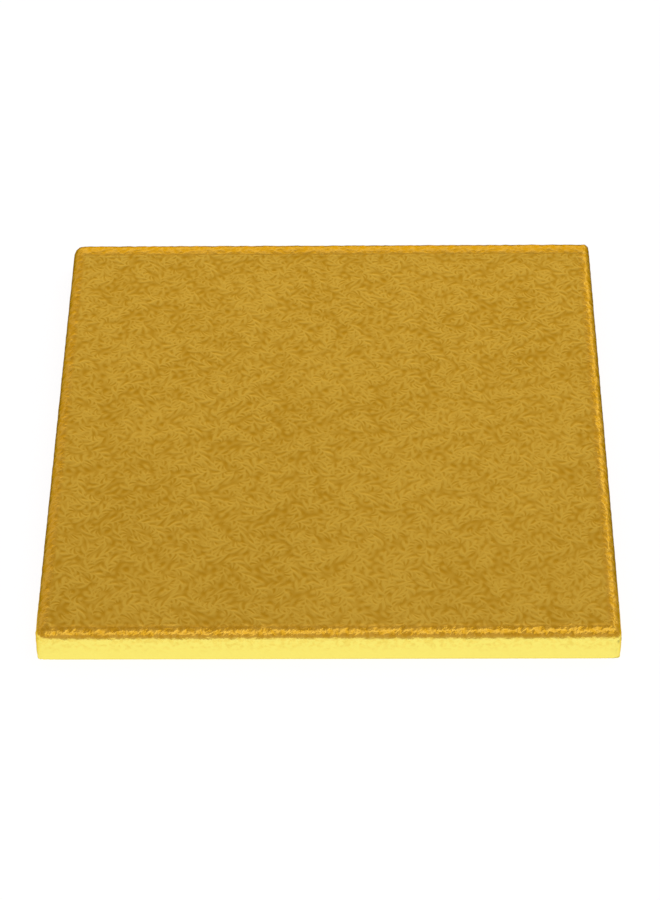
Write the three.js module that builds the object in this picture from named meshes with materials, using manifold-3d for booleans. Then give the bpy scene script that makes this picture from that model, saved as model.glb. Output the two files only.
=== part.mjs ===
// A square cake drum: a thick paperboard core, wrapped in one sheet of embossed gold foil paper
// that is folded round its edges and turned under, with a lining paper glued over the raw margins.
// Millimetres, +Z up. The origin is the middle of the underside, and the front edge faces -Y.
import * as THREE from "three";
import { mergeVertices } from "three/addons/utils/BufferGeometryUtils.js";
import Module from "manifold-3d";

// Driving dimensions
const SIDE = 178;
const THICKNESS = 12;
const FOIL = 0.3; // the foil paper with the depth of its embossing
const LINING = 0.2;
const CORNER_ROUNDS = { backRight: 1.8, backLeft: 3.4, frontLeft: 3.8, frontRight: 1.8 }; // at the top
const CORNER_FOOT_ROUND = 1.2; // every corner is sharper at its foot
const EDGE_RUN = 3.6; // how far in from the side the top edge starts to fall away
const BACK_RUN = 6.5; // the same along the back, where the edge is rolled more gently
const EDGE_DROP = 3; // how far it has fallen where it meets the side
const FOOT_ROUND = 0.7; // the rounding of the bottom edge
const TURN_IN = 18; // the foil margin turned under the board
const LINING_INSET = 6; // the foil that shows round the lining paper
const LINING_STEP = 1.5; // the run over which the lining paper steps off the foil margin
const SLACK = 0.3; // between the foil and the board's cut sides
const CRUSH = 0.7; // how much further the board's own top edge is crushed than the foil over it
const RIPPLE_DEPTH = 0.16; // the crinkles of the foil along the top edge
const RIPPLE_PITCH = 7.4;
const RIPPLE_WAVES = [
  { share: 0.6, rate: 1, shift: 0 },
  { share: 0.4, rate: 2.3, shift: 1 },
];
const PLEAT_DEPTH = 0.14; // the gathers of the foil round each corner
const SEAM_DEPTH = 0.14; // the mitred joint of the turned-in margins at each corner

// How finely the solids are faceted
const CORNER_STEPS = 8;
const FOIL_SIDE_STEPS = 72;
const ARC_DIVISIONS = 2; // a path gives an arc twice as many segments
const SHARPEST_CORNER = 0.3; // an inset outline keeps at least this corner radius

const HALF = SIDE / 2;
const FOIL_UNDER = LINING; // the lower face of the turned-in margin
const CORE_UNDER = LINING + FOIL;
const CORE_TOP = THICKNESS - FOIL;
const CORNERS = [
  { x: 1, y: 1, round: CORNER_ROUNDS.backRight },
  { x: -1, y: 1, round: CORNER_ROUNDS.backLeft },
  { x: -1, y: -1, round: CORNER_ROUNDS.frontLeft },
  { x: 1, y: -1, round: CORNER_ROUNDS.frontRight },
];

const wasm = await Module();
wasm.setup();

// A point of one rounded corner, at a share from 0 to 1 of its arc, on the outline drawn in by inset.
// The rounding widens from the foot up to the top edge.
function cornerPoint(index, share, inset, height) {
  const corner = CORNERS[index % CORNERS.length];
  const half = HALF - inset;
  const rise = THREE.MathUtils.clamp(height / (THICKNESS - EDGE_DROP), 0, 1);
  const outer = THREE.MathUtils.lerp(CORNER_FOOT_ROUND, corner.round, rise);
  const round = Math.min(Math.max(outer - inset, SHARPEST_CORNER), half);
  const angle = ((index + share) * Math.PI) / 2;
  return new THREE.Vector2(
    corner.x * (half - round) + round * Math.cos(angle),
    corner.y * (half - round) + round * Math.sin(angle),
  );
}

// A point of the board's outline drawn in by inset, at one of the columns that go round it.
function outlinePoint(column, sideSteps, inset, height) {
  const index = Math.floor(column / (CORNER_STEPS + sideSteps)) % CORNERS.length;
  const step = column % (CORNER_STEPS + sideSteps);
  if (step <= CORNER_STEPS) return cornerPoint(index, step / CORNER_STEPS, inset, height);
  const along = (step - CORNER_STEPS) / sideSteps;
  return cornerPoint(index, 1, inset, height).lerp(cornerPoint(index + 1, 0, inset, height), along);
}

// A profile turned on a lathe and then squared up: its x is the distance from the middle of the
// board, and each column of the lathe moves to its place on the board's outline.
function squaredLathe(profile, sideSteps, relief = () => ({ out: 0, up: 0 })) {
  const columns = CORNERS.length * (CORNER_STEPS + sideSteps);
  const points = profile.getPoints(ARC_DIVISIONS);
  const geometry = new THREE.LatheGeometry(points, columns);
  const position = geometry.getAttribute("position");
  for (let v = 0; v < position.count; v++) {
    const column = Math.floor(v / points.length) % columns;
    const { x, y } = points[v % points.length];
    const moved = relief(column, x, y);
    const p = outlinePoint(column, sideSteps, HALF - x - moved.out, y);
    position.setXYZ(v, p.x, p.y, y + moved.up);
  }
  geometry.deleteAttribute("normal");
  geometry.deleteAttribute("uv");
  return mergeVertices(geometry);
}

function toSolid(geometry) {
  return new wasm.Manifold(
    new wasm.Mesh({
      numProp: 3,
      vertProperties: geometry.getAttribute("position").array,
      triVerts: new Uint32Array(geometry.index.array),
    }),
  );
}

function toGeometry(solid) {
  const mesh = solid.getMesh();
  const geometry = new THREE.BufferGeometry();
  geometry.setAttribute("position", new THREE.BufferAttribute(mesh.vertProperties, 3));
  geometry.setIndex(new THREE.BufferAttribute(mesh.triVerts, 1));
  const faceted = geometry.toNonIndexed();
  faceted.computeVertexNormals();
  return faceted;
}

// The section of a slab with a rounded foot and a crushed top edge, from its middle to its side.
function slabProfile({ under, top, half, run, drop, foot }) {
  const profile = new THREE.Path();
  profile.moveTo(0, under);
  profile.lineTo(half - foot, under);
  profile.absarc(half - foot, under + foot, foot, -Math.PI / 2, 0, false);
  profile.lineTo(half, top - drop);
  profile.absellipse(half - run, top - drop, run, drop, 0, Math.PI / 2, false);
  profile.lineTo(0, top);
  return profile;
}

// 1 along the back, 0 along the other sides, and between them round the back corners.
function backShare(column, sideSteps) {
  const index = Math.floor(column / (CORNER_STEPS + sideSteps));
  const turned = Math.min((column % (CORNER_STEPS + sideSteps)) / CORNER_STEPS, 1);
  return [turned, 1 - turned, 0, 0][index];
}

// A slab on the board's outline. Its top edge starts to fall further in along the back.
function squaredSlab(slab, sideSteps, relief = () => ({ out: 0, up: 0 })) {
  return squaredLathe(slabProfile(slab), sideSteps, (column, x, y) => {
    const moved = relief(column, x, y);
    const onEdge = x >= slab.half - slab.run && y > THICKNESS / 2;
    const spread = onEdge ? (slab.half - x) * (slab.backRun / slab.run - 1) : 0;
    return { out: moved.out - spread * backShare(column, sideSteps), up: moved.up };
  });
}

// The board inside the foil. Its sides stand clear of the foil by the slack.
function coreSlab(slack) {
  return {
    under: CORE_UNDER,
    top: CORE_TOP,
    half: HALF - FOIL - slack,
    run: EDGE_RUN + CRUSH,
    backRun: BACK_RUN + CRUSH,
    drop: EDGE_DROP + CRUSH,
    foot: FOOT_ROUND,
  };
}

function coreBoard() {
  return toGeometry(toSolid(squaredSlab(coreSlab(SLACK), 1)));
}

// The foil's crinkles on the top edge, its gathers round the corners and the mitred seams below.
function foilRelief(column, x, y) {
  const step = column % (CORNER_STEPS + FOIL_SIDE_STEPS);
  const onCorner = step > 0 && step < CORNER_STEPS;
  const up = (y - THICKNESS + EDGE_DROP) / EDGE_DROP;
  if (x > HALF - EDGE_RUN && up > 0) {
    const phase = (2 * Math.PI * column * SIDE) / FOIL_SIDE_STEPS / RIPPLE_PITCH;
    const waves = RIPPLE_WAVES.map(({ share, rate, shift }) => share * Math.sin(rate * phase + shift));
    const height = waves.reduce((sum, wave) => sum + wave);
    return { out: 0, up: RIPPLE_DEPTH * Math.sin(Math.PI * up) * height };
  }
  if (onCorner && x > HALF - FOOT_ROUND) {
    return { out: step % 2 ? -PLEAT_DEPTH : 0, up: 0 };
  }
  const onSeam = step === CORNER_STEPS / 2 && y < CORE_UNDER && x > 0;
  return { out: 0, up: onSeam ? SEAM_DEPTH : 0 };
}

// One sheet of foil paper over the top, round the sides and turned in under the board.
function foilWrap() {
  const slab = {
    under: FOIL_UNDER,
    top: THICKNESS,
    half: HALF,
    run: EDGE_RUN,
    backRun: BACK_RUN,
    drop: EDGE_DROP,
    foot: FOOT_ROUND,
  };
  const outside = squaredSlab(slab, FOIL_SIDE_STEPS, foilRelief);
  const inside = squaredSlab(coreSlab(0), 1);
  const windowSide = SIDE - 2 * TURN_IN;
  const window = new THREE.BoxGeometry(windowSide, windowSide, THICKNESS);
  window.translate(0, 0, CORE_UNDER + FOIL - THICKNESS / 2);
  window.deleteAttribute("normal");
  window.deleteAttribute("uv");
  return toGeometry(
    toSolid(outside).subtract(toSolid(inside)).subtract(toSolid(mergeVertices(window))),
  );
}

// The lining paper lies on the foil margin, and steps up to the board inside it.
function liningPaper() {
  const stepFrom = HALF - TURN_IN - SLACK;
  const profile = new THREE.Path();
  profile.moveTo(0, CORE_UNDER - LINING);
  profile.lineTo(stepFrom - LINING_STEP, CORE_UNDER - LINING);
  profile.lineTo(stepFrom, 0);
  profile.lineTo(HALF - LINING_INSET, 0);
  profile.lineTo(HALF - LINING_INSET, LINING);
  profile.lineTo(stepFrom, LINING);
  profile.lineTo(stepFrom - LINING_STEP, CORE_UNDER);
  profile.lineTo(0, CORE_UNDER);
  return toGeometry(toSolid(squaredLathe(profile, 1)));
}

const goldFoil = new THREE.MeshStandardMaterial({ color: 0xd2a542, roughness: 0.34, metalness: 1 });
const paperboard = new THREE.MeshStandardMaterial({ color: 0xa39580, roughness: 0.9, metalness: 0 });
const whitePaper = new THREE.MeshStandardMaterial({ color: 0xefece4, roughness: 0.8, metalness: 0 });

const board = new THREE.Group();
for (const [name, geometry, material] of [
  ["core_board", coreBoard(), paperboard],
  ["foil_wrap", foilWrap(), goldFoil],
  ["lining_paper", liningPaper(), whitePaper],
]) {
  const mesh = new THREE.Mesh(geometry, material);
  mesh.name = name;
  board.add(mesh);
}

export default board;
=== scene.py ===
import math

import bmesh
import bpy
import numpy as np
from bpy.props import FloatProperty, FloatVectorProperty, PointerProperty
from mathutils import Matrix, Vector, noise


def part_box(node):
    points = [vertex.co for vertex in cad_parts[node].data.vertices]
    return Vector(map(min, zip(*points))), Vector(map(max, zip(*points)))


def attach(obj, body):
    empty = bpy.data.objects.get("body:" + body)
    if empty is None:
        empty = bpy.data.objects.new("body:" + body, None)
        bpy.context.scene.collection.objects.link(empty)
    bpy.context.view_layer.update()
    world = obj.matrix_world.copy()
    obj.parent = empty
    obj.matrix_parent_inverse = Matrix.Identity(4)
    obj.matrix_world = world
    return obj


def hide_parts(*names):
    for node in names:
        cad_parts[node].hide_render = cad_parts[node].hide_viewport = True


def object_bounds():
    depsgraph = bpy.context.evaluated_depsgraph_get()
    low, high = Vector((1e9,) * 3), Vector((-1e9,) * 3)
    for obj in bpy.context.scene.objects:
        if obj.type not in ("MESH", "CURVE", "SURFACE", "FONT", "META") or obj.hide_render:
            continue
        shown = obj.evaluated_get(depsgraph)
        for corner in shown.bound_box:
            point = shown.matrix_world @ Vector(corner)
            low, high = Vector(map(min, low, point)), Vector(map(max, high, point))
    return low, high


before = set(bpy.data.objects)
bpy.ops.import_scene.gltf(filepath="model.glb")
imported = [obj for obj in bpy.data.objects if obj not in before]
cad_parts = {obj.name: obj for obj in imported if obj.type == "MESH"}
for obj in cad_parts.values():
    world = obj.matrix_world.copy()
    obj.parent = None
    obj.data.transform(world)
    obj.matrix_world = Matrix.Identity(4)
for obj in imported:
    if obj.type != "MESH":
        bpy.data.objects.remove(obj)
CAD_LOW, CAD_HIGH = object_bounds()

bl_info = {
    "name": "Cake Drum Board",
    "version": (1, 0, 0),
    "blender": (4, 5, 0),
    "location": "View3D > Sidebar > Cake Board",
    "description": "Dresses a square cake drum in embossed gold foil paper",
    "category": "Object",
}

MM = 0.001
HALF = CAD_HIGH.x
TOP = CAD_HIGH.z
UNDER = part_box("foil_wrap")[0].z
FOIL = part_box("core_board")[0].z - UNDER

# How many rings of cells the sheet has on the top, the rolled edge, the side, the foot and the margin
RING_COUNTS = (122, 10, 11, 3, 4)
BACK_STEP = 6  # the paper side has one cell for this many of the foil side's
SHARPEST_CORNER = 1e-7  # metres: a corner's radius never reaches 0, because it divides
DEEPEST_SINK = 0.87 * FOIL  # the foil's relief stays inside the thickness of the solid's wall

# The cells of the lattice whose sprigs can reach a place, counted from the cell that it is in
NEIGHBOURS = ((0, 0), (1, 0), (0, 1), (1, 1))

# The waves that cross to make the small curls: the way each runs as parts of x and y, and its start
CURL_WAVES = ((1, 0.08, 0.3), (0.72, 0.7, 2.1), (0.14, 0.98, 4.4), (-0.55, 0.86, 1.2), (-0.93, 0.4, 5.3))

# The studio's light by the sine of its height above the horizon
SKY_STOPS = (
    (0.0, (0.52, 0.43, 0.33, 1)),
    (0.35, (0.60, 0.49, 0.37, 1)),
    (0.60, (0.60, 0.49, 0.37, 1)),
    (0.716, (0.49, 0.40, 0.285, 1)),
    (0.82, (0.41, 0.33, 0.21, 1)),
    (1.0, (0.47, 0.37, 0.24, 1)),
)
BACKDROP = (1, 0.84, 0.66, 1)
BACKDROP_SPAN = (0.72, 0.98)  # the backdrop fades in between these values of a direction's y

LAMP_COLOUR = (1, 0.95, 0.86)
FLOOR_LEVEL = -0.1 * MM  # just clear of the board's underside
FLOOR_REACH = 6  # metres from its middle to its sides

# The foil's fine variation, in patches per metre
CREASE_RATE = 620
GRAIN_RATE = 3800
CLOUD_RATE = 45
PATCH_RATE = 170

# The depths of what is bump alone on the foil
EDGE_CREASE_DEPTH = 0.27 * MM
FLAT_CREASE_DEPTH = 0.012 * MM
GRAIN_DEPTH = 0.0025 * MM
FOLD_LINE_DEPTH = 0.02 * MM

# The photo's camera, fitted to the board's outline: pixels, the sensor's millimetres, degrees and, for
# its reach, shares of the board's side
IMAGE_LONG_SIDE = 900
FOCAL_PIXELS = 2803
SENSOR = 36
CAMERA_PITCH = 46.07
CAMERA_YAW = 1.01
CAMERA_ROLL = 0.91
CAMERA_REACH = Vector((0.0003, 0.0002, 5.147))


class BoardSizes(bpy.types.PropertyGroup):
    """Sizes of the foil paper's folds, embossing and creases."""

    edge_run: FloatProperty(
        name="Edge run",
        description="How far in from the side the top edge starts to fall away",
        default=3.6 * MM,
        unit="LENGTH",
    )
    edge_drop: FloatProperty(
        name="Edge drop",
        description="How far the top edge has fallen where it meets the side",
        default=3 * MM,
        unit="LENGTH",
    )
    back_run: FloatProperty(
        name="Back edge run",
        description="How far in from the back the gentler roll of the back edge starts",
        default=6.5 * MM,
        unit="LENGTH",
    )
    crush: FloatProperty(
        name="Crush",
        description="How much further the board's own edge is crushed than the foil over it",
        default=0.7 * MM,
        unit="LENGTH",
    )
    foot_round: FloatProperty(
        name="Foot round",
        description="Radius of the fold at the bottom edge",
        default=0.7 * MM,
        unit="LENGTH",
    )
    turn_in: FloatProperty(
        name="Turn-in",
        description="Width of the foil margin turned under the board",
        default=18 * MM,
        unit="LENGTH",
    )
    round_back_right: FloatProperty(
        name="Back right round",
        description="Radius of the back right corner",
        default=1.8 * MM,
        unit="LENGTH",
    )
    round_back_left: FloatProperty(
        name="Back left round",
        description="Radius of the back left corner",
        default=3.4 * MM,
        unit="LENGTH",
    )
    round_front_left: FloatProperty(
        name="Front left round",
        description="Radius of the front left corner",
        default=3.8 * MM,
        unit="LENGTH",
    )
    round_front_right: FloatProperty(
        name="Front right round",
        description="Radius of the front right corner",
        default=1.8 * MM,
        unit="LENGTH",
    )
    round_at_foot: FloatProperty(
        name="Corner round at the foot",
        description="Radius that every corner narrows to at the bottom",
        default=1.2 * MM,
        unit="LENGTH",
    )
    sprig_spacing: FloatProperty(
        name="Sprig spacing",
        description="Distance between the middles of the embossed fern sprigs",
        default=5.8 * MM,
        unit="LENGTH",
    )
    leaflet_pitch: FloatProperty(
        name="Leaflet pitch",
        description="Distance from one leaflet of a sprig to the next",
        default=2.25 * MM,
        unit="LENGTH",
    )
    curl_pitch: FloatProperty(
        name="Curl pitch",
        description="Distance between the small curls that fill the ground between the sprigs",
        default=2.7 * MM,
        unit="LENGTH",
    )
    emboss_depth: FloatProperty(
        name="Emboss depth",
        description="Depth of the embossing in the foil paper",
        default=0.12 * MM,
        unit="LENGTH",
    )
    crinkle_depth: FloatProperty(
        name="Crinkle depth",
        description="Depth of the crinkles along the rolled top edge",
        default=0.2 * MM,
        unit="LENGTH",
    )
    back_fold: FloatProperty(
        name="Back fold",
        description="How far before the rolled edge the faint fold line along the back lies",
        default=1.2 * MM,
        unit="LENGTH",
    )
    pleat_depth: FloatProperty(
        name="Pleat depth",
        description="Depth of the gathers round each corner",
        default=0.2 * MM,
        unit="LENGTH",
    )
    pleat_pitch: FloatProperty(
        name="Pleat pitch",
        description="Distance from one corner gather to the next",
        default=1.9 * MM,
        unit="LENGTH",
    )
    seam_depth: FloatProperty(
        name="Seam depth",
        description="Depth of the mitred seams of the turned-in margin",
        default=0.14 * MM,
        unit="LENGTH",
    )


class BoardColours(bpy.types.PropertyGroup):
    """Colours and finishes of the board's papers."""

    # The embossed top's gold, from its raised tops to its valleys, is painted deeper and more orange than
    # the pressed gold of the sides: painted shade of the embossing.
    gold_raised: FloatVectorProperty(
        name="Raised gold",
        description="Foil on the tops of the embossing",
        default=(0.99, 0.72, 0.12),
        subtype="COLOR",
        min=0,
        max=1,
    )
    # Painted shade: the embossing's valleys are painted darker and more orange than its tops.
    gold_valley_shade: FloatVectorProperty(
        name="Deep gold",
        description="Foil in the valleys of the embossing",
        default=(0.74, 0.455, 0.03),
        subtype="COLOR",
        min=0,
        max=1,
    )
    gold_pressed: FloatVectorProperty(
        name="Pressed gold",
        description="Foil on the sides, where the embossing is pressed flat",
        default=(0.99, 0.87, 0.19),
        subtype="COLOR",
        min=0,
        max=1,
    )
    # Painted shade: the foil over the rolled top edge is painted a more orange gold, darker than the
    # sides and the embossing's tops.
    gold_rolled_shade: FloatVectorProperty(
        name="Rolled gold",
        description="Foil that is strained over the rolled edge",
        default=(0.92, 0.6, 0.09),
        subtype="COLOR",
        min=0,
        max=1,
    )
    # Painted shade: the creases along the rolled edge are painted a darker gold.
    gold_crease_shade: FloatVectorProperty(
        name="Creased gold",
        description="Foil in the creases along the rolled edge",
        default=(0.82, 0.50, 0.035),
        subtype="COLOR",
        min=0,
        max=1,
    )
    gold_edge: FloatVectorProperty(
        name="Edge tint",
        description="What the foil takes from light that grazes it",
        default=(0.85, 0.6, 0.25),
        subtype="COLOR",
        min=0,
        max=1,
    )
    white_paper: FloatVectorProperty(
        name="White paper",
        description="Lining paper under the board",
        default=(0.86, 0.84, 0.79),
        subtype="COLOR",
        min=0,
        max=1,
    )
    backing_paper: FloatVectorProperty(
        name="Backing paper",
        description="Paper side of the foil",
        default=(0.80, 0.78, 0.72),
        subtype="COLOR",
        min=0,
        max=1,
    )
    paperboard: FloatVectorProperty(
        name="Paperboard",
        description="The grey-brown board of the core",
        default=(0.37, 0.30, 0.22),
        subtype="COLOR",
        min=0,
        max=1,
    )
    foil_roughness: FloatProperty(
        name="Foil roughness",
        description="How far the foil blurs what it reflects",
        default=0.3,
        min=0,
        max=1,
        subtype="FACTOR",
    )


NUMPY_MATHS = {
    "ADD": np.add,
    "SUBTRACT": np.subtract,
    "MULTIPLY": np.multiply,
    "DIVIDE": np.divide,
    "FLOOR": np.floor,
    "SINE": np.sin,
    "COSINE": np.cos,
    "SQRT": np.sqrt,
    "ARCTAN2": np.arctan2,
    "MINIMUM": np.minimum,
    "MAXIMUM": np.maximum,
    "ABSOLUTE": np.abs,
    "SIGN": np.sign,
}


def calc(operation, *values):
    """A Math node where a value is a socket, and numpy's own function where all are numbers."""
    for value in values:
        if isinstance(value, Field):
            return value.shader.maths(operation, *values)
    return NUMPY_MATHS[operation](*values)


class Field:
    """A socket's value, which takes part in sums as a number does."""

    def __init__(self, shader, socket):
        self.shader = shader
        self.socket = socket

    def __add__(self, other):
        return calc("ADD", self, other)

    def __radd__(self, other):
        return calc("ADD", other, self)

    def __sub__(self, other):
        return calc("SUBTRACT", self, other)

    def __rsub__(self, other):
        return calc("SUBTRACT", other, self)

    def __mul__(self, other):
        return calc("MULTIPLY", self, other)

    def __rmul__(self, other):
        return calc("MULTIPLY", other, self)

    def __truediv__(self, other):
        return calc("DIVIDE", self, other)

    def __rtruediv__(self, other):
        return calc("DIVIDE", other, self)


# The Mix node's sockets for colours
MIX_FACTOR = 0
MIX_FIRST = 6
MIX_SECOND = 7
MIX_RESULT = 2


class Shader:
    """The nodes of a material or of the world."""

    def __init__(self, tree):
        self.tree = tree
        tree.nodes.clear()

    def node(self, kind, settings=None, sockets=None):
        """Makes one node: its settings first, then the values or links of its input sockets."""
        made = self.tree.nodes.new(kind)
        for name, value in (settings or {}).items():
            if name == "stops":
                self.set_stops(made.color_ramp, value)
            else:
                setattr(made, name, value)
        for name, value in (sockets or {}).items():
            if isinstance(value, Field):
                self.tree.links.new(value.socket, made.inputs[name])
            else:
                made.inputs[name].default_value = value
        return made

    def out(self, made, name=0):
        return Field(self, made.outputs[name])

    def set_stops(self, ramp, stops):
        while len(ramp.elements) < len(stops):
            ramp.elements.new(1)
        for element, (position, colour) in zip(ramp.elements, stops):
            element.position = position
            element.color = colour

    def maths(self, operation, *values):
        return self.out(self.node("ShaderNodeMath", {"operation": operation}, dict(enumerate(values))))

    def mix_colours(self, factor, first, second):
        """Between two colours: factor 0 gives the first and factor 1 the second."""
        sockets = {MIX_FACTOR: factor, MIX_FIRST: first, MIX_SECOND: second}
        return self.out(self.node("ShaderNodeMix", {"data_type": "RGBA"}, sockets), MIX_RESULT)

    def ramp_between(self, value, start, end):
        """0 up to the start, 1 from the end on and smooth between. The end may be the lower of them."""
        settings = {"interpolation_type": "SMOOTHSTEP"}
        sockets = {"Value": value, "From Min": start, "From Max": end}
        return self.out(self.node("ShaderNodeMapRange", settings, sockets))

    def noise(self, place, rate, detail=2, roughness=0.5):
        """Cloudy values around 0.5, with about this many patches per metre."""
        settings = {"noise_dimensions": "3D"}
        sockets = {"Vector": place, "Scale": rate, "Detail": detail, "Roughness": roughness}
        return self.out(self.node("ShaderNodeTexNoise", settings, sockets))

    def bump(self, relief):
        """The surface's direction where it has this relief, in metres."""
        return self.out(self.node("ShaderNodeBump", {}, {"Height": relief, "Distance": 1, "Strength": 1}))

    def object_place(self):
        return self.out(self.node("ShaderNodeTexCoord"), "Object")


def opaque(colour):
    return (*colour, 1)


def darkened(colour, share):
    """The colour times this share, for a colour socket."""
    return opaque([channel * share for channel in colour])


def fraction(value):
    return value - calc("FLOOR", value)


def scattered(i, j):
    """Two numbers from 0 to 1 that look random and belong to one cell of a lattice."""
    first = calc("SINE", i * 2.4 + j * 4.14) * 37.7 + calc("SINE", i * 1.37 - j * 2.91) * 23.3
    first = fraction(first)
    second = fraction(calc("SINE", i * 3.11 + j * 1.93) * 29.1 + first * 7.3)
    return first, second


def fern_sprigs(x, y, spacing, pitch):
    """Height from 0 to 1 of the embossed sprigs at a place on the flat sheet, all in one unit.

    The places are numbers in numpy arrays or sockets of a shader. Each sprig is a bent stem with
    leaflets on both sides. They are scattered on a slanting, wavy lattice, each turned its own way."""
    bend = 0.6 * spacing  # radius of the stem's bow
    length = 0.88 * spacing  # from the sprig's middle to its tip
    reach = 0.56 * spacing  # from the stem to the tips of the leaflets
    wave = 0.16 * spacing
    stem_width = 0.08 * spacing
    stray = 0.5  # the breadth over which the sprigs stray from the lattice, as a share of the spacing
    slant_cosine = 0.88
    slant_sine = 0.47
    waved_x = x + wave * calc("SINE", y * (2.3 / spacing) + 0.4)
    waved_y = y + wave * calc("SINE", x * (2.0 / spacing) + 2)
    slanted_x = (waved_x * slant_cosine + waved_y * slant_sine) / spacing
    slanted_y = (waved_y * slant_cosine - waved_x * slant_sine) / spacing
    column = calc("FLOOR", slanted_x)
    row = calc("FLOOR", slanted_y)
    height = 0
    for right, up in NEIGHBOURS:
        i = column + right
        j = row + up
        first, second = scattered(i, j)
        turn = (first * 3.1 + second * 5.7) * math.tau
        from_x = (slanted_x - i - (first - 0.5) * stray) * spacing
        from_y = (slanted_y - j - (second - 0.5) * stray) * spacing
        cosine = calc("COSINE", turn)
        sine = calc("SINE", turn)
        ahead = from_x * cosine + from_y * sine
        beside = from_y * cosine - from_x * sine + bend
        along = calc("ARCTAN2", ahead, beside) * bend
        across = calc("SQRT", ahead * ahead + beside * beside) - bend
        width = calc("ABSOLUTE", across)
        spread = (along * along) / length**2 + (width * width) / reach**2
        fade = calc("MINIMUM", spread, 1)
        outline = 1 - fade * fade
        phase = (along - width * 0.8) / pitch + calc("SIGN", across) * 0.25
        blade = calc("COSINE", phase * math.tau) * 0.5 + 0.5
        stem = calc("MAXIMUM", 1 - width / stem_width, 0)
        leaf = blade + (1 - blade) * stem * stem
        sprig = outline * (leaf * 0.75 + 0.25) * (second * 0.3 + 0.7)
        height = calc("MAXIMUM", height, sprig)
    return height


def small_curls(x, y, pitch):
    """Height from 0 to 0.8 of the curls that fill the ground between the sprigs."""
    wave = 0.45 * pitch
    waved_x = x + calc("SINE", y * (1.1 / pitch) + 1.7) * wave
    waved_y = y + calc("SINE", x * (0.9 / pitch) + 0.6) * wave
    total = 0
    for part_x, part_y, start in CURL_WAVES:
        phase = (waved_x * part_x + waved_y * part_y) * (math.tau / pitch)
        total = total + calc("COSINE", phase + start)
    return total * (0.4 / len(CURL_WAVES)) + 0.4


def embossing(x, y, spacing, leaflet_pitch, curl_pitch):
    """Height from 0 to about 1 of the whole embossed figure."""
    return calc("MAXIMUM", fern_sprigs(x, y, spacing, leaflet_pitch), small_curls(x, y, curl_pitch))


class Section:
    """The way of a sheet from the middle of the top, round the side and in under the board.

    Each ring has its inset from the board's side, its height, and its travel from the middle
    along the sheet."""

    def __init__(self, skin, under, top, run, drop, foot, turn_in, counts):
        top_rings, edge_rings, side_rings, foot_rings, margin_rings = counts
        self.skin = skin
        self.run = run
        edge = np.linspace(0, math.pi / 2, edge_rings + 1)[1:]
        toe = np.linspace(0, math.pi / 2, foot_rings + 1)[1:]
        side_heights = np.linspace(top - drop, under + foot, side_rings + 1)[1:]
        margin = np.linspace(skin + foot, turn_in, margin_rings + 1)[1:]
        self.insets = np.concatenate([
            np.linspace(HALF, skin + run, top_rings + 1),
            skin + run * (1 - np.sin(edge)),
            np.full(side_rings, skin),
            skin + foot * (1 - np.cos(toe)),
            margin,
        ])
        self.heights = np.concatenate([
            np.full(top_rings + 1, top),
            top - drop + drop * np.cos(edge),
            side_heights,
            under + foot * (1 - np.sin(toe)),
            np.full(margin_rings, under),
        ])
        steps = np.hypot(np.diff(self.insets), np.diff(self.heights))
        self.travel = np.concatenate([[0], np.cumsum(steps)])
        self.rings = len(self.insets) - 1
        self.edge_start = self.travel[top_rings]
        self.edge_end = self.travel[top_rings + edge_rings]
        self.side_end = self.travel[top_rings + edge_rings + side_rings]
        self.rim = self.travel[-1]


def foil_section(sizes, behind=False):
    """The section of the foil side of the sheet, or of its paper side."""
    counts = np.array(RING_COUNTS)
    if behind:
        counts = np.maximum(counts // BACK_STEP, 1)
        counts[0] += sum(RING_COUNTS) // BACK_STEP - counts.sum()
    skin = FOIL if behind else 0
    crush = sizes.crush if behind else 0
    return Section(
        skin,
        UNDER + skin,
        TOP - skin,
        sizes.edge_run + crush,
        sizes.edge_drop + crush,
        sizes.foot_round,
        sizes.turn_in,
        counts,
    )


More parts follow.
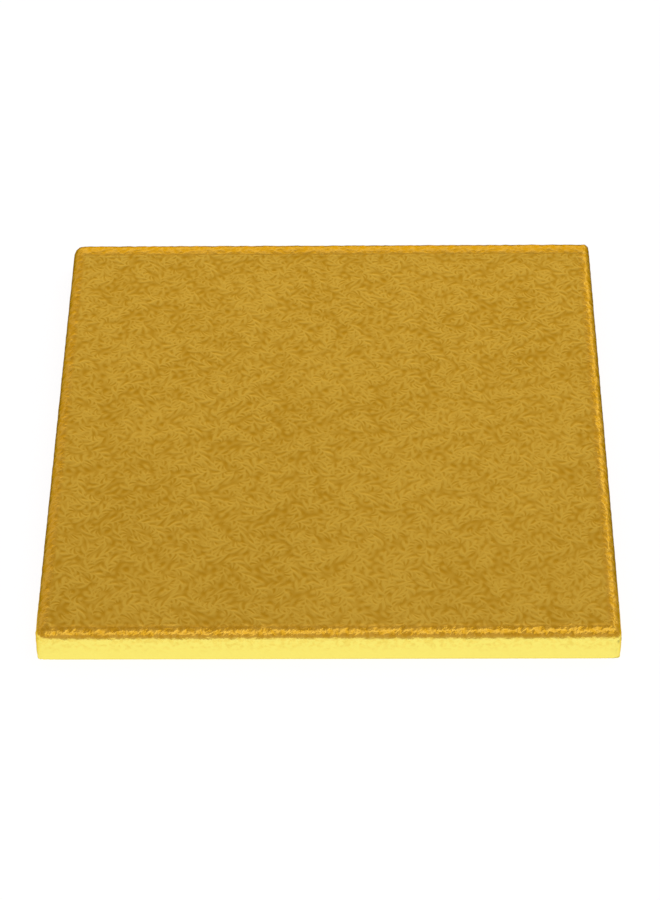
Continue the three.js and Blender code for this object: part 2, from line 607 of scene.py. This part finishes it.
class FoldedGrid:
    """A square grid of cells, folded over the board: its rings follow a section.

    Each vertex has its place on the board, its way from the middle along the sheet (travel), and its
    way along its ring from the middle of the side (along), which ends at the corner."""

    def __init__(self, verts, section, sizes):
        place = np.array([vert.co.xy for vert in verts]) * section.rings
        self.grid = np.rint(place).astype(int)
        self.size = np.abs(self.grid)
        self.signs = np.where(self.grid < 0, -1, 1)
        self.ring = self.size.max(axis=1)
        self.sideways = self.size[:, 0] >= self.size[:, 1]
        rounds = {
            (1, 1): sizes.round_back_right,
            (-1, 1): sizes.round_back_left,
            (-1, -1): sizes.round_front_left,
            (1, -1): sizes.round_front_right,
        }
        inset = section.insets[self.ring]
        self.height = section.heights[self.ring]
        at_top = np.array([rounds[tuple(signs)] for signs in self.signs])
        rise = np.clip(self.height / (TOP - sizes.edge_drop), 0, 1)
        corner = sizes.round_at_foot + (at_top - sizes.round_at_foot) * rise
        radius = np.maximum(corner - inset, SHARPEST_CORNER)
        share = self.size.min(axis=1) / np.maximum(self.ring, 1)
        straight = HALF - inset - radius
        length = straight + radius * math.pi / 4
        self.along = share * length
        self.from_corner = length - self.along
        turn = np.clip((self.along - straight) / radius, 0, math.pi / 4)
        rounded = self.along > straight
        major = np.where(rounded, straight + radius * np.cos(turn), HALF - inset)
        minor = np.where(rounded, straight + radius * np.sin(turn), self.along)
        self.travel = section.travel[self.ring]
        self.section = section
        self.x, self.y = self.spread(major, minor)
        self.draw_in_the_back(sizes)
        self.sheet_x, self.sheet_y = self.spread(self.travel, self.along)

    def draw_in_the_back(self, sizes):
        """Widens the rolled edge along the back, less and less towards the side."""
        section = self.section
        half = HALF - section.skin
        inset = half - self.y
        run = section.run
        stretch = (sizes.back_run - sizes.edge_run) / run
        shift = np.where(inset < run, inset, run * (half - inset) / (half - run)) * stretch
        edge_length = section.edge_end - section.edge_start
        turned = np.clip((self.travel - section.edge_start) / edge_length, 0, 1)
        shift = np.where(self.y > 0, shift, 0) * np.cos(turned * math.pi / 2)
        self.y = self.y - shift

    def spread(self, major, minor):
        """x and y of places that lie this far out from the middle, and this far along their ring."""
        x = np.where(self.sideways, major, minor) * self.signs[:, 0]
        y = np.where(self.sideways, minor, major) * self.signs[:, 1]
        return x, y


def smooth_step(value, low, high):
    share = np.clip((value - low) / (high - low), 0, 1)
    return share * share * (3 - 2 * share)


def foil_sink(folded, sizes):
    """How far each point of the foil lies below its smooth section.

    This is the embossing, the crinkles of the edge, the corners' gathers and the mitred seams."""
    travel = folded.travel
    edge_start = folded.section.edge_start
    edge_end = folded.section.edge_end
    side_end = folded.section.side_end
    flattened = 0.72  # the share of the embossing's depth that is pressed out of the sides
    crinkle_size = 1.6 * MM
    coarse_rate = 0.45  # the coarser crinkles for each of the fine ones
    coarse_start = Vector((7, 3, 1))
    corner_reach = 4 * MM
    lean_length = 2.1 * MM
    seam_width = 0.6 * MM
    figure = (sizes.sprig_spacing, sizes.leaflet_pitch, sizes.curl_pitch)
    height = embossing(folded.sheet_x, folded.sheet_y, *figure)
    pressed = smooth_step(travel, edge_start, edge_end)
    sink = sizes.emboss_depth * (1 - height) * (1 - flattened * pressed)
    near_edge = smooth_step(travel, edge_start - 1.5 * MM, edge_start + 1 * MM)
    near_edge = near_edge * (1 - smooth_step(travel, edge_end - 1 * MM, edge_end + 1.2 * MM))
    crinkle = np.zeros(len(travel))
    for index in np.flatnonzero(near_edge > 0):
        place = Vector((folded.sheet_x[index], folded.sheet_y[index], 0)) / crinkle_size
        crinkle[index] = noise.noise(place) + 0.6 * noise.noise(place * coarse_rate + coarse_start)
    sink += near_edge * sizes.crinkle_depth * (0.5 - 0.6 * crinkle)
    on_side = smooth_step(travel, edge_start + 1 * MM, edge_end + 1 * MM)
    at_corner = np.exp(-((folded.from_corner / corner_reach) ** 2))
    lean = 0.35 * np.sin(travel / lean_length) + 0.4
    pleats = 0.5 + 0.5 * np.cos(math.tau * (folded.from_corner / sizes.pleat_pitch + lean))
    sink += on_side * at_corner * sizes.pleat_depth * pleats
    under = smooth_step(travel, side_end, side_end + 1.5 * MM)
    sink += under * sizes.seam_depth * np.exp(-((folded.from_corner / seam_width) ** 2))
    return np.clip(sink, 0, DEEPEST_SINK)


def build_foil_mesh(sizes):
    """The folded sheet: a fine foil side and a coarse paper side, joined round the raw edge."""
    bm = bmesh.new()
    uv = bm.loops.layers.uv.new("sheet")
    sides = []
    for behind in (False, True):
        section = foil_section(sizes, behind)
        cells = 2 * section.rings
        verts = bmesh.ops.create_grid(bm, x_segments=cells, y_segments=cells, size=1)["verts"]
        folded = FoldedGrid(verts, section, sizes)
        for vert, x, y, height in zip(verts, folded.x, folded.y, folded.height):
            vert.co = (x, y, height)
        order = {vert: index for index, vert in enumerate(verts)}
        faces = sorted({face for vert in verts for face in vert.link_faces}, key=lambda face: face.index)
        for face in faces:
            rows = [order[vert] for vert in face.verts]
            middle = np.abs(folded.grid[rows].sum(axis=0))
            signs = folded.signs[rows]
            for loop, row, sign in zip(face.loops, rows, signs):
                u, v = folded.travel[row], folded.along[row]
                if middle[0] < middle[1]:
                    u, v = v, u
                u = 0.5 + 0.5 * u * sign[0] / section.rim
                v = 0.5 + 0.5 * v * sign[1] / section.rim
                loop[uv].uv = (u, v)
            face.smooth = True
            face.material_index = int(behind)
        sides.append((verts, faces, folded))
    verts, faces, folded = sides[0]
    bm.normal_update()
    for vert, sink in zip(verts, foil_sink(folded, sizes)):
        vert.co -= vert.normal * sink
    bmesh.ops.reverse_faces(bm, faces=sides[1][1])
    rims = [edge for edge in bm.edges if edge.is_boundary]
    for edge in rims:
        edge.smooth = False
    bridge = bmesh.ops.bridge_loops(bm, edges=rims)
    for face in bridge["faces"]:
        face.material_index = 1
    bmesh.ops.recalc_face_normals(bm, faces=bm.faces)
    mesh = bpy.data.meshes.new("foil_sheet")
    bm.to_mesh(mesh)
    bm.free()
    return mesh


def new_material(name):
    material = bpy.data.materials.new(name)
    material.use_nodes = True
    return material, Shader(material.node_tree)


def finish_material(shader, sockets):
    """One Principled shader with these socket values, linked to the output."""
    surface = shader.node("ShaderNodeBsdfPrincipled", {}, sockets)
    shader.node("ShaderNodeOutputMaterial", {}, {"Surface": shader.out(surface)})


def gold_foil_material(sizes, colours):
    """Gold foil paper, embossed all over, pressed flatter on the sides and crinkled along the edge.

    The lengths along the sheet are in millimetres here."""
    material, shader = new_material("gold_foil")
    section = foil_section(sizes)
    in_mm = 1 / MM
    sheet = 2 * section.rim * in_mm
    uv = shader.out(shader.node("ShaderNodeUVMap", {"uv_map": "sheet"}))
    split = shader.node("ShaderNodeSeparateXYZ", {}, {"Vector": uv})
    x = (shader.out(split, "X") - 0.5) * sheet
    y = (shader.out(split, "Y") - 0.5) * sheet
    travel = calc("MAXIMUM", calc("ABSOLUTE", x), calc("ABSOLUTE", y))
    figure = (sizes.sprig_spacing * in_mm, sizes.leaflet_pitch * in_mm, sizes.curl_pitch * in_mm)
    height = embossing(x, y, *figure)
    edge_start = section.edge_start * in_mm
    edge_end = section.edge_end * in_mm
    side_end = section.side_end * in_mm
    pressed = shader.ramp_between(travel, edge_end - 2, edge_end)
    place = shader.object_place()
    creases = shader.noise(place, CREASE_RATE)
    grain = shader.noise(place, GRAIN_RATE)
    clouds = shader.noise(place, CLOUD_RATE)
    near_edge = shader.ramp_between(travel, edge_start - 1.2, edge_start + 0.6)
    near_edge = near_edge * (1 - shader.ramp_between(travel, edge_end - 0.6, edge_end + 0.6))
    upper_side = pressed * (1 - shader.ramp_between(travel, edge_end + 1, side_end - 2))
    back_fold = edge_start - sizes.back_fold * in_mm
    past_fold = y - (clouds - 0.5) * 0.9 - back_fold
    fold_line = calc("MAXIMUM", 1 - calc("ABSOLUTE", past_fold) / 0.7, 0)
    raised = calc("MINIMUM", height, 1)
    relief = raised * (1 - pressed * 0.8) * (0.36 * sizes.emboss_depth)
    relief = relief + creases * (near_edge + upper_side * 0.2) * EDGE_CREASE_DEPTH
    relief = relief + creases * FLAT_CREASE_DEPTH + grain * GRAIN_DEPTH + fold_line * FOLD_LINE_DEPTH
    normal = shader.bump(relief)
    patches = shader.noise(place, PATCH_RATE)
    # Painted shade: the colour darkens from the embossing's tops into its valleys, mixed with random
    # clouds and patches.
    valley_shade_and_patches = shader.ramp_between(raised + (clouds + patches - 1) * 0.25, 0.1, 0.85)
    embossed = shader.mix_colours(valley_shade_and_patches, opaque(colours.gold_valley_shade), opaque(colours.gold_raised))
    # Painted shade: the mask of the deepest creases, where the rolled edge is painted darker.
    crease_shade_mask = shader.ramp_between(creases, 0.58, 0.38)
    # Painted shade: round the rolled edge most of the colour is given over to the rolled edge's painted
    # gold.
    shade_painted = shader.mix_colours(near_edge * 0.8, embossed, opaque(colours.gold_rolled_shade))
    crease_shaded = shader.mix_colours(near_edge * crease_shade_mask, shade_painted, opaque(colours.gold_crease_shade))
    # Painted shade: on the upper sides the pressed gold gives way to the darker gold in the creases, and
    # a little in the embossing's valleys.
    side_shade_factor = 1 - upper_side * crease_shade_mask * 0.35 - (1 - raised) * 0.03
    colour = shader.mix_colours(pressed * side_shade_factor, crease_shaded, opaque(colours.gold_pressed))
    roughness = (1 - raised) * 0.08 + (clouds - 0.5) * 0.08 + colours.foil_roughness - near_edge * 0.06
    finish_material(shader, {
        "Base Color": colour,
        "Metallic": 1,
        "Roughness": roughness,
        "Specular Tint": opaque(colours.gold_edge),
        "Normal": normal,
    })
    return material


def paper_material(name, colour, fleck, fibre_rate):
    """Matt paper with faint clouds of colour, flecks and a fibrous surface."""
    fibre_depth = 0.03 * MM
    material, shader = new_material(name)
    place = shader.object_place()
    stretch = shader.node("ShaderNodeMapping", {}, {"Vector": place, "Scale": (1, 0.35, 1)})
    fibres = shader.noise(shader.out(stretch), fibre_rate, detail=5, roughness=0.65)
    clouds = shader.noise(place, 60, detail=3)
    flecks = shader.ramp_between(shader.noise(place, 2 * fibre_rate, roughness=0.6), 0.66, 0.74)
    cloudy = shader.mix_colours(clouds * 0.6 + fibres * 0.4, darkened(colour, 0.86), opaque(colour))
    flecked = shader.mix_colours(flecks * fleck, cloudy, darkened(colour, 0.45))
    finish_material(shader, {
        "Base Color": flecked,
        "Roughness": fibres * 0.15 + 0.72,
        "Normal": shader.bump(fibres * fibre_depth),
    })
    return material


def paperboard_material(colour):
    """Pasted layers of greyboard: faint stripes up its cut sides, with flecks of other fibres."""
    layer = 2 * MM
    fibre_depth = 0.08 * MM
    layer_depth = 0.05 * MM
    material, shader = new_material("paperboard")
    place = shader.object_place()
    height = shader.out(shader.node("ShaderNodeSeparateXYZ", {}, {"Vector": place}), "Z")
    stripes = calc("COSINE", height * (math.tau / layer)) * 0.5 + 0.5
    fibres = shader.noise(place, 900, detail=5, roughness=0.7)
    flecks = shader.ramp_between(shader.noise(place, 1500, roughness=0.6), 0.62, 0.7)
    board = shader.mix_colours(stripes * 0.5 + fibres * 0.5, darkened(colour, 0.72), opaque(colour))
    flecked = shader.mix_colours(flecks * 0.6, board, darkened(colour, 0.4))
    relief = fibres * fibre_depth + stripes * layer_depth
    finish_material(shader, {
        "Base Color": flecked,
        "Roughness": fibres * 0.1 + 0.84,
        "Normal": shader.bump(relief),
    })
    return material


def floor_material():
    """White to the camera. In reflections it is white before the board, grey close beside and behind it,
    and lighter again further off."""
    darkening_run = 45 * MM  # from the board's front towards its back
    lighter_from = HALF + 30 * MM
    lighter_to = HALF + 90 * MM
    darkest = 0.15
    material, shader = new_material("white_floor")
    path = shader.node("ShaderNodeLightPath")
    mirrored = shader.out(path, "Is Glossy Ray") + shader.out(path, "Is Transmission Ray")
    mirrored = calc("MINIMUM", mirrored, 1)
    place = shader.object_place()
    split = shader.node("ShaderNodeSeparateXYZ", {}, {"Vector": place})
    depth = shader.out(split, "Y")
    in_front = shader.ramp_between(depth, -HALF + darkening_run, -HALF)
    reach = calc("MAXIMUM", calc("ABSOLUTE", shader.out(split, "X")), calc("ABSOLUTE", depth))
    far = shader.ramp_between(reach, lighter_from, lighter_to) * 0.4
    share = calc("MAXIMUM", in_front, far) * (1 - darkest) + darkest
    strength = (shader.out(path, "Is Camera Ray") + mirrored * share) * 0.9
    cool_white = opaque((0.93, 0.95, 1))
    glow = shader.node("ShaderNodeEmission", {}, {"Color": cool_white, "Strength": strength})
    grey = opaque((0.3, 0.3, 0.3))
    shaded = shader.node("ShaderNodeBsdfDiffuse", {}, {"Color": grey})
    white = shader.node("ShaderNodeAddShader", {}, {0: shader.out(glow), 1: shader.out(shaded)})
    shader.node("ShaderNodeOutputMaterial", {}, {"Surface": shader.out(white)})
    return material


def studio_world():
    """White to the camera. To all else it is a soft, warm studio, brighter behind the board."""
    world = bpy.data.worlds.new("studio")
    world.use_nodes = True
    shader = Shader(world.node_tree)
    way = shader.out(shader.node("ShaderNodeTexCoord"), "Generated")
    split = shader.node("ShaderNodeSeparateXYZ", {}, {"Vector": way})
    ramp = shader.node("ShaderNodeValToRGB", {"stops": SKY_STOPS}, {"Fac": shader.out(split, "Z")})
    behind = shader.ramp_between(shader.out(split, "Y"), *BACKDROP_SPAN)
    lit = shader.mix_colours(behind, shader.out(ramp), BACKDROP)
    seen = shader.out(shader.node("ShaderNodeLightPath"), "Is Camera Ray")
    colour = shader.mix_colours(seen, lit, opaque((1, 1, 1)))
    background = shader.node("ShaderNodeBackground", {}, {"Color": colour, "Strength": 1})
    shader.node("ShaderNodeOutputWorld", {}, {"Surface": shader.out(background)})
    bpy.context.scene.world = world


def add_piece(name, mesh, materials, node):
    """Links a finished mesh at the origin, in place of a CAD node."""
    piece = bpy.data.objects.new(name, mesh)
    for material in materials:
        mesh.materials.append(material)
    bpy.context.scene.collection.objects.link(piece)
    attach(piece, "root")
    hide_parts(node)
    return piece


def add_area_lamp(name, place, width, depth, brightness):
    """A soft box that faces the board. Its face has this brightness, where 1 shows as white."""
    lamp = bpy.data.lights.new(name, "AREA")
    lamp.shape = "RECTANGLE"
    lamp.size = width
    lamp.size_y = depth
    lamp.energy = brightness * math.pi * width * depth
    lamp.color = LAMP_COLOUR
    holder = bpy.data.objects.new(name, lamp)
    holder.location = place
    holder.rotation_euler = (-Vector(place)).to_track_quat("-Z", "Y").to_euler()
    bpy.context.scene.collection.objects.link(holder)


def add_camera():
    """The camera that the photo was taken with, fitted to the board's outline."""
    pitch = math.radians(CAMERA_PITCH)
    tilt = Matrix((
        (1, 0, 0),
        (0, -math.sin(pitch), -math.cos(pitch)),
        (0, math.cos(pitch), -math.sin(pitch)),
    ))
    yaw = Matrix.Rotation(-math.radians(CAMERA_YAW), 3, "Z")
    roll = Matrix.Rotation(-math.radians(CAMERA_ROLL), 3, "Z")
    look = roll @ tilt @ yaw
    place = look.transposed() @ (-CAMERA_REACH * 2 * HALF)
    axes = Matrix((look[0], -look[1], -look[2])).transposed()
    data = bpy.data.cameras.new("camera")
    data.lens = FOCAL_PIXELS / IMAGE_LONG_SIDE * SENSOR
    data.sensor_width = SENSOR
    camera = bpy.data.objects.new("camera", data)
    camera.matrix_world = Matrix.Translation(place) @ axes.to_4x4()
    bpy.context.scene.collection.objects.link(camera)
    bpy.context.scene.camera = camera


class FoilWrapOperator(bpy.types.Operator):
    """Fold the sheet of embossed gold foil paper round the board"""

    bl_idname = "cake_board.foil_wrap"
    bl_label = "Foil Wrap"

    def execute(self, context):
        sizes = context.scene.cake_board_sizes
        colours = context.scene.cake_board_colours
        backing = paper_material("backing_paper", colours.backing_paper, fleck=0.1, fibre_rate=1400)
        materials = [gold_foil_material(sizes, colours), backing]
        add_piece("foil_sheet", build_foil_mesh(sizes), materials, "foil_wrap")
        return {"FINISHED"}


class LiningPaperOperator(bpy.types.Operator):
    """Give the lining paper under the board its finish"""

    bl_idname = "cake_board.lining_paper"
    bl_label = "Lining Paper"

    def execute(self, context):
        colours = context.scene.cake_board_colours
        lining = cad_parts["lining_paper"]
        material = paper_material("white_paper", colours.white_paper, fleck=0.25, fibre_rate=1100)
        lining.material_slots[0].material = material
        return {"FINISHED"}


class CoreBoardOperator(bpy.types.Operator):
    """Give the paperboard core its finish"""

    bl_idname = "cake_board.core_board"
    bl_label = "Core Board"

    def execute(self, context):
        colours = context.scene.cake_board_colours
        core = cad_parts["core_board"]
        core.material_slots[0].material = paperboard_material(colours.paperboard)
        return {"FINISHED"}


class StageOperator(bpy.types.Operator):
    """Set up the white floor, the soft light and the camera"""

    bl_idname = "cake_board.stage"
    bl_label = "Stage"

    def execute(self, context):
        bm = bmesh.new()
        bmesh.ops.create_grid(bm, x_segments=1, y_segments=1, size=FLOOR_REACH)
        bmesh.ops.translate(bm, verts=bm.verts, vec=(0, 0, FLOOR_LEVEL))
        mesh = bpy.data.meshes.new("floor")
        bm.to_mesh(mesh)
        bm.free()
        mesh.materials.append(floor_material())
        floor = bpy.data.objects.new("floor", mesh)
        context.scene.collection.objects.link(floor)
        studio_world()
        add_area_lamp("overhead_box", (0.2, -0.2, 1.25), width=2.4, depth=0.5, brightness=0.7)
        add_area_lamp("right_box", (0.75, 0.8, 0.5), width=0.35, depth=0.35, brightness=0.6)
        add_camera()
        context.scene.view_settings.view_transform = "Standard"
        return {"FINISHED"}


class CakeBoardPanel(bpy.types.Panel):
    """Sizes and colours of the cake board, and the operators that make it"""

    bl_idname = "VIEW3D_PT_cake_board"
    bl_label = "Cake Board"
    bl_space_type = "VIEW_3D"
    bl_region_type = "UI"
    bl_category = "Cake Board"

    def draw(self, context):
        layout = self.layout
        for group in (context.scene.cake_board_sizes, context.scene.cake_board_colours):
            column = layout.column(align=True)
            for name in group.__annotations__:
                column.prop(group, name)
        for operator in OPERATORS:
            layout.operator(operator.bl_idname)


OPERATORS = (FoilWrapOperator, LiningPaperOperator, CoreBoardOperator, StageOperator)
CLASSES = (BoardSizes, BoardColours, *OPERATORS, CakeBoardPanel)


def register():
    for cls in CLASSES:
        bpy.utils.register_class(cls)
    bpy.types.Scene.cake_board_sizes = PointerProperty(type=BoardSizes)
    bpy.types.Scene.cake_board_colours = PointerProperty(type=BoardColours)


def unregister():
    del bpy.types.Scene.cake_board_colours
    del bpy.types.Scene.cake_board_sizes
    for cls in reversed(CLASSES):
        bpy.utils.unregister_class(cls)


def main():
    register()
    bpy.ops.cake_board.foil_wrap()
    bpy.ops.cake_board.lining_paper()
    bpy.ops.cake_board.core_board()
    bpy.ops.cake_board.stage()


if __name__ == "__main__":
    main()
